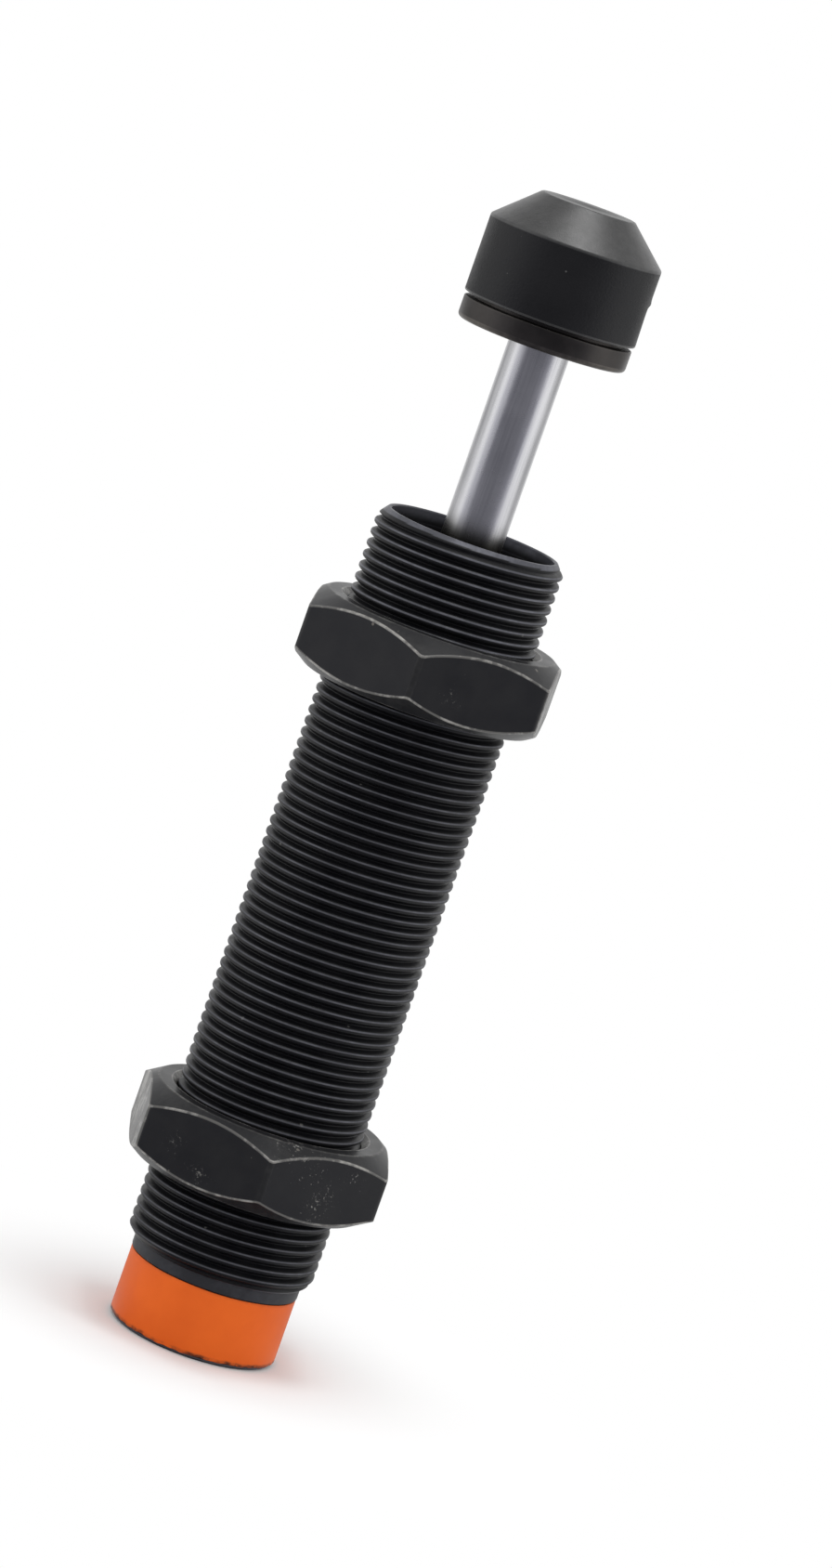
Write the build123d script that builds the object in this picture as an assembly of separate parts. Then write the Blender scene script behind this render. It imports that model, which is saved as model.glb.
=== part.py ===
from build123d import *
from math import cos, radians, sin, sqrt, tan
import os

# A hydraulic shock absorber that stands on its closed rear end.
# Millimetres, z up along the rod, zero at the rear face, the near side towards -y.

# Running and fitting clearances
running_gap = 0.05        # radial, wherever one piece slides in or on another
fixed_gap = 0.02          # radial, between pieces that are assembled once
end_gap = 0.05            # axial, between pieces that are stacked loosely
foam_gap = 0.3            # all round the soft foam ring

# Rod with its tail for the piston and its stud for the button
stroke = 25.4
rod_radius = 4.0
rod_shoulder_break = 0.3
stud_step = 1.05          # radial, rod to stud
stud_length = 7.0
stud_tip_break = 0.4
tail_step = 1.5           # radial, rod to tail
tail_tip = 0.8            # length of the tail past the nut

# Pressure tube
chamber_width = 2.75      # radial, rod to tube
tube_wall = 1.25
tube_register = 0.8       # depth of the pocket that centres it in the floor
orifice_radius = 0.5
orifice_count = 6
port_radius = 0.8
port_count = 4
port_below_washer = 1.5
washer_thickness = 1.5

# Threaded body
body_length = 110.0
reservoir_width = 1.75    # radial, tube to bore
body_wall = 2.675         # bore to the crest of a 25 x 1.5 thread
thread_pitch = 1.5
thread_depth = 0.75       # crest to the bottom of a groove
thread_crest = 0.45       # flat left on each ridge, along the axis
thread_foot = 1.025       # crest to the foot of the rear chamfer
thread_lead_in = 1.0      # rear chamfer of the thread, along the axis
rim_step = 1.15           # crest to rim
rim_chamfer = 1.4         # front chamfer of the thread, along the axis
rim_width = 0.45
rim_break = 0.15          # broken inner edge of the rim
mouth_depth = 3.8
collar_step = 1.225       # crest to collar
collar_length = 1.6
rear_land_step = 1.475    # crest to rear land
rear_land_length = 9.3
rear_edge_break = 0.3
floor_thickness = 10.0
groove_lip = 0.8          # wall between the mouth and the circlip groove
groove_depth = 0.65

# Band round the rear land
label_thickness = 0.16
label_setback = 0.35      # bare steel left below the band
label_top_gap = 0.1

# Filling port and its screw
filler_radius = 3.0
filler_tip_gap = 1.0      # screw's tip to the tube's register
filler_head_step = 1.4    # radial, shank to head
filler_head_height = 2.8
filler_setback = 0.4      # head below the rear face
filler_pocket_gap = 0.4
filler_edge_break = 0.3
filler_socket_flats = 4.0
filler_socket_depth = 1.8
filler_seal_thickness = 0.8
filler_seal_overhang = 0.1

# Hexagon nuts
nut_wall = 3.575          # thread's crest to the flats, for 32 across flats
nut_thickness = 10.0
nut_face_step = 0.9       # flats to the flat ring left by the outside chamfer
nut_chamfer_angle = 34.0
nut_corner_round = 0.6
nut_bore_chamfer = 0.8
front_nut_setback = 12.0  # from the rim
front_nut_turn = -2.9     # degrees about z, corner towards -y at zero
rear_nut_setback = 9.7    # from the rear end of the thread
rear_nut_turn = 7.5

# Button and cap
button_landing = 0.25     # mouth to the button's edge
button_thickness = 2.9
button_lower_round = 0.6
button_upper_break = 0.2
cap_overhang = 0.2        # radial, past the button
cap_seat_step = 1.4       # radial, button to the neck under the cap
cap_seat_height = 0.5
cap_wall = 4.25           # cap's side to the spigot
cap_side_height = 10.1
cap_cone_height = 4.7
cap_cone_inset = 5.15     # radial, side to flat top
cap_corner_round = 0.5
cap_foot_break = 0.25
cap_roof_gap = 0.5
spigot_height = 7.5
spigot_groove_depth = 0.8
spigot_groove_start = 2.2
spigot_groove_height = 2.2
spigot_lead = 0.8

# Gland and the seals in it
ring_thickness = 1.0
ring_width = 1.75
ring_play = 0.1
ring_opening = 44.0       # degrees between the two ears
ear_radius = 1.35
ear_reach = 0.75          # ear centre inside the ring's inner edge
ear_hole_radius = 0.6
gland_length = 8.3
gland_rod_gap = 0.2
seal_width = 2.2          # radial, rod to the seal's pocket
seal_pocket_depth = 3.8
seal_height = 2.6
seal_lip = 0.5            # height of the lips' tips
seal_notch_depth = 1.3
seal_root_gap = 0.3       # radial, rod to the seal behind its lip
backup_height = 0.9
wiper_width = 2.4         # radial, rod to the wiper's pocket
wiper_pocket_depth = 2.65
wiper_root_gap = 0.6      # radial, rod to the wiper behind its lip
wiper_shoulder_gap = 1.3  # radial, rod to the lip's outer foot
wiper_lip_height = 1.1
wiper_lip_edge = 0.4
wiper_undercut = 1.3
o_ring_section = 0.62
o_ring_height = 4.0       # centre above the gland's lower face
o_ring_groove_side = 0.3

# Rod bearing with its bush, and the foam round its neck
bush_wall = 1.0
bush_length = 14.0
bush_edge_break = 0.25
neck_wall = 1.2
bearing_neck_length = 14.0
bearing_flange_thickness = 4.0
bearing_spigot_length = 2.5
bearing_rod_gap = 0.4
oil_notch_radius = 0.9
oil_notch_count = 6

# Piston and what it carries
piston_length = 9.0
piston_ring_height = 2.0
piston_ring_width = 1.0
piston_ring_below_top = 3.2
piston_ring_opening = 0.5
piston_groove_wall = 0.35 # flow holes to the ring groove
piston_edge_break = 0.3
flow_hole_count = 6
flow_hole_cover = 0.05    # plate's inner edge to the holes
check_inset = 0.2         # plate inside the nut's flange
check_thickness = 0.8
check_float = 0.55
hub_wall = 1.43
hub_side_gap = 0.1
grip_wall = 0.98          # nut's bore to its flats
piston_nut_flange_thickness = 1.8
piston_nut_notch_width = 1.6
piston_nut_notch_count = 4
piston_nut_grip = 2.4

# Return spring and its seat
wire_radius = 0.5
wire_sides = 8            # the round wire is drawn with a few flat sides
spring_side_gap = 0.65    # wire to the tube
spring_turns = 11
pilot_gap = 0.4           # wire to the pilot
seat_thickness = 2.0
seat_pilot_height = 4.0
seat_pilot_break = 0.6
seat_port_radius = 1.5

# Heights that follow from the sizes above
collar_top = rear_land_length + collar_length
thread_start = collar_top + thread_lead_in
thread_end = body_length - rim_chamfer
front_nut_base = body_length - front_nut_setback - nut_thickness
rear_nut_base = thread_start + rear_nut_setback
mouth_floor = body_length - mouth_depth
groove_top = mouth_floor - groove_lip
groove_bottom = groove_top - ring_thickness - ring_play
gland_top = groove_bottom
gland_bottom = gland_top - gland_length
flange_top = gland_bottom - bearing_neck_length
tube_top = flange_top - bearing_flange_thickness
tube_bottom = floor_thickness - tube_register
bearing_foot = tube_top - bearing_spigot_length
washer_bottom = bearing_foot - washer_thickness
piston_top = washer_bottom - fixed_gap
piston_bottom = piston_top - piston_length
nut_hub_length = check_thickness + check_float
flange_upper = piston_bottom - nut_hub_length
flange_lower = flange_upper - piston_nut_flange_thickness
piston_nut_bottom = flange_lower - piston_nut_grip
seat_top = tube_bottom + seat_thickness
button_bottom = body_length + stroke
button_top = button_bottom + button_thickness
cap_bottom = button_top + cap_seat_height
spigot_top = cap_bottom + spigot_height
cap_cone_start = cap_bottom + cap_side_height
cap_top = cap_cone_start + cap_cone_height
pocket_depth = filler_setback + filler_head_height + filler_seal_thickness

# Radii that follow from the rod outwards
stud_radius = rod_radius - stud_step
tail_radius = rod_radius - tail_step
rod_seal_radius = rod_radius + running_gap
tube_bore_radius = rod_radius + chamber_width
tube_outer_radius = tube_bore_radius + tube_wall
bore_radius = tube_outer_radius + reservoir_width
thread_radius = bore_radius + body_wall
thread_foot_radius = thread_radius - thread_foot
thread_root_radius = thread_radius - thread_depth
rim_radius = thread_radius - rim_step
mouth_radius = rim_radius - rim_width
collar_radius = thread_radius - collar_step
rear_land_radius = thread_radius - rear_land_step
nut_flat_radius = thread_radius + nut_wall
button_radius = mouth_radius + button_landing
cap_radius = button_radius + cap_overhang
spigot_radius = cap_radius - cap_wall
filler_head_radius = filler_radius + filler_head_step

# Radii of the pieces inside
seat_radius = tube_bore_radius - running_gap
piston_radius = tube_bore_radius - running_gap
piston_groove_radius = piston_radius - piston_ring_width - running_gap
gland_radius = bore_radius - running_gap
ring_outer_radius = bore_radius + groove_depth - running_gap
ring_inner_radius = ring_outer_radius - ring_width
seal_pocket_radius = rod_radius + seal_width
wiper_pocket_radius = rod_radius + wiper_width
bush_outer_radius = rod_radius + bush_wall
bearing_neck_radius = bush_outer_radius + neck_wall
spring_radius = tube_bore_radius - spring_side_gap - wire_radius
piston_nut_bore = tail_radius + fixed_gap
piston_nut_hub_radius = piston_nut_bore + hub_wall
piston_nut_flange_radius = spring_radius + wire_radius + running_gap
check_inner_radius = piston_nut_hub_radius + hub_side_gap
check_outer_radius = piston_nut_flange_radius - check_inset


def turned(*points):
    """Solid of revolution about z from an outline of radius and height pairs."""
    outline = Polyline(*[(radius, 0, height) for radius, height in points], close=True)
    return revolve(make_face(outline), Axis.Z)


def ring(inner, outer, low, high):
    """Plain ring between two radii and two heights."""
    return turned((inner, low), (outer, low), (outer, high), (inner, high))


def disc(radius, low, high):
    """Plain disc or bore between two heights."""
    return turned((0, low), (radius, low), (radius, high), (0, high))


def around(count, reach, piece, start=0.0):
    """Copies of a piece set out evenly on a circle about z."""
    step = 360 / count
    return [Rot(0, 0, start + step * place) * Pos(reach, 0, 0) * piece for place in range(count)]


def rounded(part, radius, height, size):
    """Rounds the circular edge that lies at one radius and height."""
    circles = part.edges().filter_by(GeomType.CIRCLE)
    near = 0.01
    chosen = [
        edge
        for edge in circles
        if abs(edge.radius - radius) < near and abs(edge.arc_center.Z - height) < near
    ]
    return fillet(chosen, size)


def ridges():
    """Outline points of the thread's ridges, each a flat crest and a V groove after it."""
    flank = (thread_pitch - thread_crest) / 2
    count = int((thread_end - thread_start) / thread_pitch)
    points = []
    for place in range(count):
        foot = thread_start + place * thread_pitch
        points.append((thread_radius, foot))
        points.append((thread_radius, foot + thread_crest))
        points.append((thread_root_radius, foot + thread_crest + flank))
    points.append((thread_radius, thread_start + count * thread_pitch))
    return points


def body_tube():
    """Ridged barrel with a closed floor, a filling port, a circlip groove and a wide mouth."""
    rear_face = rear_land_radius - rear_edge_break
    outside = turned(
        (0, 0),
        (rear_face, 0),
        (rear_land_radius, rear_edge_break),
        (rear_land_radius, rear_land_length),
        (collar_radius, rear_land_length),
        (collar_radius, collar_top),
        (thread_foot_radius, collar_top),
        *ridges(),
        (thread_radius, thread_end),
        (rim_radius, body_length),
        (0, body_length),
    )
    inside = turned(
        (0, floor_thickness),
        (bore_radius, floor_thickness),
        (bore_radius, groove_bottom),
        (bore_radius + groove_depth, groove_bottom),
        (bore_radius + groove_depth, groove_top),
        (bore_radius, groove_top),
        (bore_radius, mouth_floor),
        (mouth_radius, mouth_floor),
        (mouth_radius, body_length - rim_break),
        (mouth_radius + rim_break, body_length),
        (0, body_length),
    )
    register = disc(tube_outer_radius + fixed_gap, tube_bottom, floor_thickness)
    pocket = disc(filler_head_radius + filler_pocket_gap, 0, pocket_depth)
    port = disc(filler_radius, pocket_depth, tube_bottom)
    return outside - inside - register - pocket - port


def label_sleeve():
    """Thin band that wraps the rear land."""
    inner = rear_land_radius + fixed_gap
    return ring(inner, inner + label_thickness, label_setback, rear_land_length - label_top_gap)


def hexagon_nut(base, turn):
    """Hexagon nut with rounded corners, chamfered on both faces and in the bore."""
    corner_radius = nut_flat_radius / cos(radians(30))
    nut_face_radius = nut_flat_radius - nut_face_step
    blank = extrude(RegularPolygon(corner_radius, 6, rotation=-90), nut_thickness)
    blank = fillet(blank.edges().filter_by(Axis.Z), nut_corner_round)
    drop = (corner_radius - nut_face_radius) * tan(radians(nut_chamfer_angle))
    envelope = turned(
        (0, 0),
        (nut_face_radius, 0),
        (corner_radius, drop),
        (corner_radius, nut_thickness - drop),
        (nut_face_radius, nut_thickness),
        (0, nut_thickness),
    )
    bore_side = thread_radius + running_gap
    bore_mouth = bore_side + nut_bore_chamfer
    bore = turned(
        (0, 0),
        (bore_mouth, 0),
        (bore_side, nut_bore_chamfer),
        (bore_side, nut_thickness - nut_bore_chamfer),
        (bore_mouth, nut_thickness),
        (0, nut_thickness),
    )
    return Pos(0, 0, base) * Rot(0, 0, turn) * ((blank & envelope) - bore)


def filler_screw():
    """Socket screw that closes the filling port, set below the rear face."""
    head_top = filler_setback + filler_head_height
    shank_radius = filler_radius - running_gap
    tip = tube_bottom - filler_tip_gap
    body = turned(
        (0, filler_setback),
        (filler_head_radius - filler_edge_break, filler_setback),
        (filler_head_radius, filler_setback + filler_edge_break),
        (filler_head_radius, head_top),
        (shank_radius, head_top),
        (shank_radius, tip - filler_edge_break),
        (shank_radius - filler_edge_break, tip),
        (0, tip),
    )
    socket = extrude(RegularPolygon(filler_socket_flats / sqrt(3), 6), filler_socket_depth)
    return body - Pos(0, 0, filler_setback) * socket


def filler_seal():
    """Flat sealing ring between the screw's head and the pocket's ceiling."""
    head_top = filler_setback + filler_head_height
    return ring(filler_radius, filler_head_radius + filler_seal_overhang, head_top, pocket_depth)


def pressure_tube():
    """Inner cylinder with metering orifices that thin out along the stroke, and return ports."""
    tube = ring(tube_bore_radius, tube_outer_radius, tube_bottom, tube_top)
    drill_length = tube_wall * 3
    drill = Rot(0, 90, 0) * Cylinder(orifice_radius, drill_length)
    middle = tube_bore_radius + tube_wall / 2
    step = 360 / orifice_count
    for place in range(orifice_count):
        # the share of orifices still open falls with the root of the travel left
        left = (orifice_count - place) / orifice_count
        height = piston_bottom - orifice_radius - stroke * (1 - left**2)
        tube -= Rot(0, 0, step * place) * Pos(middle, 0, height) * drill
    port = Rot(0, 90, 0) * Cylinder(port_radius, drill_length)
    port_height = washer_bottom - port_below_washer
    for drilled in around(port_count, middle, Pos(0, 0, port_height) * port, step / 2):
        tube -= drilled
    return tube


def spring_seat():
    """Disc on the floor with a pilot for the spring and a hole for filling oil."""
    pilot_radius = spring_radius - wire_radius - pilot_gap
    pilot_top = seat_top + seat_pilot_height
    return turned(
        (seat_port_radius, tube_bottom),
        (seat_radius, tube_bottom),
        (seat_radius, seat_top),
        (pilot_radius, seat_top),
        (pilot_radius, pilot_top - seat_pilot_break),
        (pilot_radius - seat_pilot_break, pilot_top),
        (seat_port_radius, pilot_top),
    )


def return_spring():
    """Helical compression spring with its ends ground flat."""
    low = seat_top + fixed_gap
    high = flange_lower - fixed_gap
    pitch = (high - low) / spring_turns
    path = Helix(pitch, high - low, spring_radius, center=(0, 0, low))
    section = Plane(origin=path @ 0, z_dir=path % 0) * RegularPolygon(wire_radius, wire_sides)
    coil = sweep(section, path, is_frenet=True)
    return coil & disc(bore_radius, low, high)


def rod_bearing():
    """Guide with a flange on the tube, a spigot in it and a neck for the foam."""
    bush_seat = gland_bottom - bush_length - fixed_gap
    step_radius = rod_radius + bearing_rod_gap
    guide = turned(
        (step_radius, bearing_foot),
        (tube_bore_radius - fixed_gap, bearing_foot),
        (tube_bore_radius - fixed_gap, tube_top),
        (gland_radius, tube_top),
        (gland_radius, flange_top),
        (bearing_neck_radius, flange_top),
        (bearing_neck_radius, gland_bottom),
        (bush_outer_radius, gland_bottom),
        (bush_outer_radius, bush_seat),
        (step_radius, bush_seat),
    )
    notch = disc(oil_notch_radius, tube_top, flange_top)
    for cut in around(oil_notch_count, gland_radius, notch):
        guide -= cut
    return guide


def guide_bush():
    """Bronze bush that carries the rod."""
    low = gland_bottom - bush_length
    inner = rod_seal_radius
    outer = bush_outer_radius - fixed_gap
    return turned(
        (inner, low + bush_edge_break),
        (inner + bush_edge_break, low),
        (outer - bush_edge_break, low),
        (outer, low + bush_edge_break),
        (outer, gland_bottom),
        (inner, gland_bottom),
    )


def accumulator_foam():
    """Foam ring round the bearing's neck."""
    inner = bearing_neck_radius + foam_gap
    outer = bore_radius - foam_gap
    return ring(inner, outer, flange_top + foam_gap, gland_bottom - foam_gap)


def rebound_washer():
    """Polymer ring under the bearing that stops the piston on its way out."""
    return ring(rod_seal_radius, seat_radius, washer_bottom, bearing_foot)


def gland():
    """Seal carrier with a lip seal pocket below, a wiper pocket above and a ring groove."""
    pocket_roof = gland_bottom + seal_pocket_depth
    wiper_floor = gland_top - wiper_pocket_depth
    land_radius = rod_radius + gland_rod_gap
    carrier = turned(
        (seal_pocket_radius, gland_bottom),
        (gland_radius, gland_bottom),
        (gland_radius, gland_top),
        (wiper_pocket_radius, gland_top),
        (wiper_pocket_radius, wiper_floor),
        (land_radius, wiper_floor),
        (land_radius, pocket_roof),
        (seal_pocket_radius, pocket_roof),
    )
    half_groove = o_ring_section + o_ring_groove_side
    middle = gland_bottom + o_ring_height
    groove_floor = gland_radius - 2 * o_ring_section - fixed_gap
    return carrier - ring(groove_floor, bore_radius, middle - half_groove, middle + half_groove)


def gland_o_ring():
    """Round static seal in the gland's outer groove."""
    middle = gland_bottom + o_ring_height
    return Pos(0, 0, middle) * Torus(gland_radius - o_ring_section, o_ring_section)


def rod_seal():
    """Lip seal on the rod with its notch towards the oil."""
    low = gland_bottom + end_gap
    high = low + seal_height
    outer = seal_pocket_radius - fixed_gap
    inner = rod_seal_radius
    root = rod_radius + seal_root_gap
    notch_middle = (outer + inner) / 2
    lip_width = (outer - inner) / 4
    return turned(
        (inner, low),
        (inner + lip_width, low),
        (notch_middle, low + seal_notch_depth),
        (outer - lip_width, low),
        (outer, low),
        (outer, high),
        (root, high),
        (root, low + seal_notch_depth),
        (inner, low + seal_lip),
    )


def backup_ring():
    """Hard ring between the lip seal and the pocket's roof."""
    low = gland_bottom + end_gap + seal_height + end_gap
    return ring(rod_seal_radius, seal_pocket_radius - fixed_gap, low, low + backup_height)


def wiper_ring():
    """Wiper with a lip that stands up round the rod."""
    low = gland_top - wiper_pocket_depth + end_gap
    lip_top = gland_top + wiper_lip_height
    inner = rod_seal_radius
    outer = wiper_pocket_radius - fixed_gap
    root = rod_radius + wiper_root_gap
    return turned(
        (root, low),
        (outer, low),
        (outer, gland_top),
        (rod_radius + wiper_shoulder_gap, gland_top),
        (inner + wiper_lip_edge, lip_top),
        (inner, lip_top),
        (inner, lip_top - wiper_lip_edge),
        (root, lip_top - wiper_undercut),
    )


def retaining_ring():
    """Internal circlip with two drilled ears at its opening."""
    low = groove_bottom + ring_play / 2
    high = low + ring_thickness
    clip = ring(ring_inner_radius, ring_outer_radius, low, high)
    half = radians(ring_opening / 2)
    reach = 2 * ring_outer_radius
    edge_x = reach * cos(half)
    edge_y = reach * sin(half)
    wedge = make_face(Polyline((0, 0, low), (edge_x, -edge_y, low), (edge_x, edge_y, low), close=True))
    clip -= extrude(wedge, ring_thickness, dir=(0, 0, 1))
    ear_place = ring_inner_radius - ear_reach + ear_radius / 2
    for side in (-1, 1):
        turn = Rot(0, 0, side * ring_opening / 2) * Pos(ear_place, 0, 0)
        clip += turn * disc(ear_radius, low, high)
        clip -= turn * disc(ear_hole_radius, low, high)
    return clip & disc(ring_outer_radius, low, high)


def piston_rod():
    """Rod with a tail for the piston and a stud for the button."""
    tail_end = piston_nut_bottom - tail_tip
    return turned(
        (0, tail_end),
        (tail_radius - stud_tip_break, tail_end),
        (tail_radius, tail_end + stud_tip_break),
        (tail_radius, piston_top),
        (rod_radius - rod_shoulder_break, piston_top),
        (rod_radius, piston_top + rod_shoulder_break),
        (rod_radius, button_bottom - rod_shoulder_break),
        (rod_radius - rod_shoulder_break, button_bottom),
        (stud_radius, button_bottom),
        (stud_radius, button_bottom + stud_length - stud_tip_break),
        (stud_radius - stud_tip_break, button_bottom + stud_length),
        (0, button_bottom + stud_length),
    )


def piston():
    """Piston with a ring groove and axial flow holes."""
    groove_high = piston_top - piston_ring_below_top
    groove_low = groove_high - piston_ring_height - 2 * end_gap
    head = turned(
        (tail_radius + fixed_gap, piston_bottom),
        (piston_radius - piston_edge_break, piston_bottom),
        (piston_radius, piston_bottom + piston_edge_break),
        (piston_radius, groove_low),
        (piston_groove_radius, groove_low),
        (piston_groove_radius, groove_high),
        (piston_radius, groove_high),
        (piston_radius, piston_top - piston_edge_break),
        (piston_radius - piston_edge_break, piston_top),
        (tail_radius + fixed_gap, piston_top),
    )
    holes_from = check_inner_radius + flow_hole_cover
    holes_to = piston_groove_radius - piston_groove_wall
    hole = disc((holes_to - holes_from) / 2, piston_bottom, piston_top)
    for drilled in around(flow_hole_count, (holes_to + holes_from) / 2, hole):
        head -= drilled
    return head


def piston_ring():
    """Split ring in the piston's groove."""
    high = piston_top - piston_ring_below_top - end_gap
    low = high - piston_ring_height
    outer = tube_bore_radius - fixed_gap
    hoop = ring(outer - piston_ring_width, outer, low, high)
    middle = (low + high) / 2
    split = Box(2 * outer, piston_ring_opening, 2 * piston_ring_height)
    return hoop - Pos(outer, 0, middle) * split


def check_ring():
    """Loose valve plate, resting on the piston nut's flange."""
    return ring(check_inner_radius, check_outer_radius, flange_upper, flange_upper + check_thickness)


def piston_nut():
    """Nut with a hub, a notched flange for plate and spring, and a hexagon to grip."""
    flange = turned(
        (piston_nut_bore, flange_lower),
        (piston_nut_flange_radius, flange_lower),
        (piston_nut_flange_radius, flange_upper),
        (piston_nut_hub_radius, flange_upper),
        (piston_nut_hub_radius, piston_bottom),
        (piston_nut_bore, piston_bottom),
    )
    depth = piston_nut_flange_radius - piston_nut_hub_radius
    notch = Box(2 * depth, piston_nut_notch_width, 2 * piston_nut_flange_thickness)
    notch = Pos(0, 0, (flange_lower + flange_upper) / 2) * notch
    notch_reach = piston_nut_flange_radius + depth / 2
    for cut in around(piston_nut_notch_count, notch_reach, notch):
        flange -= cut
    corner_radius = (piston_nut_bore + grip_wall) / cos(radians(30))
    hexagon = extrude(RegularPolygon(corner_radius, 6), piston_nut_grip)
    grip = Pos(0, 0, piston_nut_bottom) * hexagon
    return flange + grip - disc(piston_nut_bore, piston_nut_bottom, piston_bottom)


def strike_button():
    """Steel disc with a grooved spigot for the cap and a blind bore for the rod's stud."""
    groove_low = cap_bottom + spigot_groove_start
    groove_high = groove_low + spigot_groove_height
    groove_radius = spigot_radius - spigot_groove_depth
    cap_seat_radius = button_radius - cap_seat_step
    bore = stud_radius + running_gap
    solid = turned(
        (0, button_bottom),
        (button_radius, button_bottom),
        (button_radius, button_top - button_upper_break),
        (button_radius - button_upper_break, button_top),
        (cap_seat_radius, button_top),
        (cap_seat_radius, cap_bottom),
        (spigot_radius, cap_bottom),
        (spigot_radius, groove_low),
        (groove_radius, groove_low),
        (groove_radius, groove_high),
        (spigot_radius, groove_high),
        (spigot_radius, spigot_top - spigot_lead),
        (spigot_radius - spigot_lead, spigot_top),
        (0, spigot_top),
    )
    solid = rounded(solid, button_radius, button_bottom, button_lower_round)
    return solid - disc(bore, button_bottom, button_bottom + stud_length + end_gap)


def bumper_cap():
    """Polymer cap, a cylinder with a cone, snapped over the button's spigot."""
    groove_low = cap_bottom + spigot_groove_start + end_gap
    groove_high = groove_low + spigot_groove_height - 2 * end_gap
    inner = spigot_radius + running_gap
    lip = inner - spigot_groove_depth
    roof = spigot_top + cap_roof_gap
    cap_top_radius = cap_radius - cap_cone_inset
    solid = turned(
        (0, cap_bottom),
        (cap_radius - cap_foot_break, cap_bottom),
        (cap_radius, cap_bottom + cap_foot_break),
        (cap_radius, cap_cone_start),
        (cap_top_radius, cap_top),
        (0, cap_top),
    )
    solid = rounded(solid, cap_radius, cap_cone_start, cap_corner_round)
    solid = rounded(solid, cap_top_radius, cap_top, cap_corner_round)
    hollow = turned(
        (0, cap_bottom),
        (inner, cap_bottom),
        (inner, groove_low),
        (lip, groove_low),
        (lip, groove_high),
        (inner, groove_high),
        (inner, roof),
        (0, roof),
    )
    return solid - hollow


pieces = {
    "body_tube": body_tube(),
    "label_sleeve": label_sleeve(),
    "front_nut": hexagon_nut(front_nut_base, front_nut_turn),
    "rear_nut": hexagon_nut(rear_nut_base, rear_nut_turn),
    "filler_screw": filler_screw(),
    "filler_seal": filler_seal(),
    "pressure_tube": pressure_tube(),
    "spring_seat": spring_seat(),
    "return_spring": return_spring(),
    "rod_bearing": rod_bearing(),
    "guide_bush": guide_bush(),
    "accumulator_foam": accumulator_foam(),
    "rebound_washer": rebound_washer(),
    "gland": gland(),
    "gland_o_ring": gland_o_ring(),
    "rod_seal": rod_seal(),
    "backup_ring": backup_ring(),
    "wiper_ring": wiper_ring(),
    "retaining_ring": retaining_ring(),
    "piston_rod": piston_rod(),
    "piston": piston(),
    "piston_ring": piston_ring(),
    "check_ring": check_ring(),
    "piston_nut": piston_nut(),
    "strike_button": strike_button(),
    "bumper_cap": bumper_cap(),
}

os.makedirs("parts", exist_ok=True)
for name, piece in pieces.items():
    export_step(piece, f"parts/{name}.step")
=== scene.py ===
import math

import bmesh
import bpy
import numpy as np
from mathutils import Matrix, Vector


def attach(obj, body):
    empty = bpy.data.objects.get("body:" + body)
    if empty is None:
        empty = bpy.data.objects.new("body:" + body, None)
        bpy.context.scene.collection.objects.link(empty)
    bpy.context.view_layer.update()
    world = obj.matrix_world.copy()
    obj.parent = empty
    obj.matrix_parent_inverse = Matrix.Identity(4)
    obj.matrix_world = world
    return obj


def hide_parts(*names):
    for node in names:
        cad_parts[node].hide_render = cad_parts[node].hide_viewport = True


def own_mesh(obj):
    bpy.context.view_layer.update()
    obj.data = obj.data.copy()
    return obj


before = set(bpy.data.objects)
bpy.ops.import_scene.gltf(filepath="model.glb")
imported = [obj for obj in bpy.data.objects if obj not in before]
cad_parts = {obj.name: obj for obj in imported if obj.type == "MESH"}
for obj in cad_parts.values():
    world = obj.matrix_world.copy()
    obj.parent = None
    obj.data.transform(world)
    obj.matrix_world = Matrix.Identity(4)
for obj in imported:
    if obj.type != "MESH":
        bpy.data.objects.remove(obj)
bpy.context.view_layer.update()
print("frame loaded")

# The pieces' dictionaries are in millimetres, with heights from the rear face. Meshes are made in metres.
millimetre = 0.001


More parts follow.
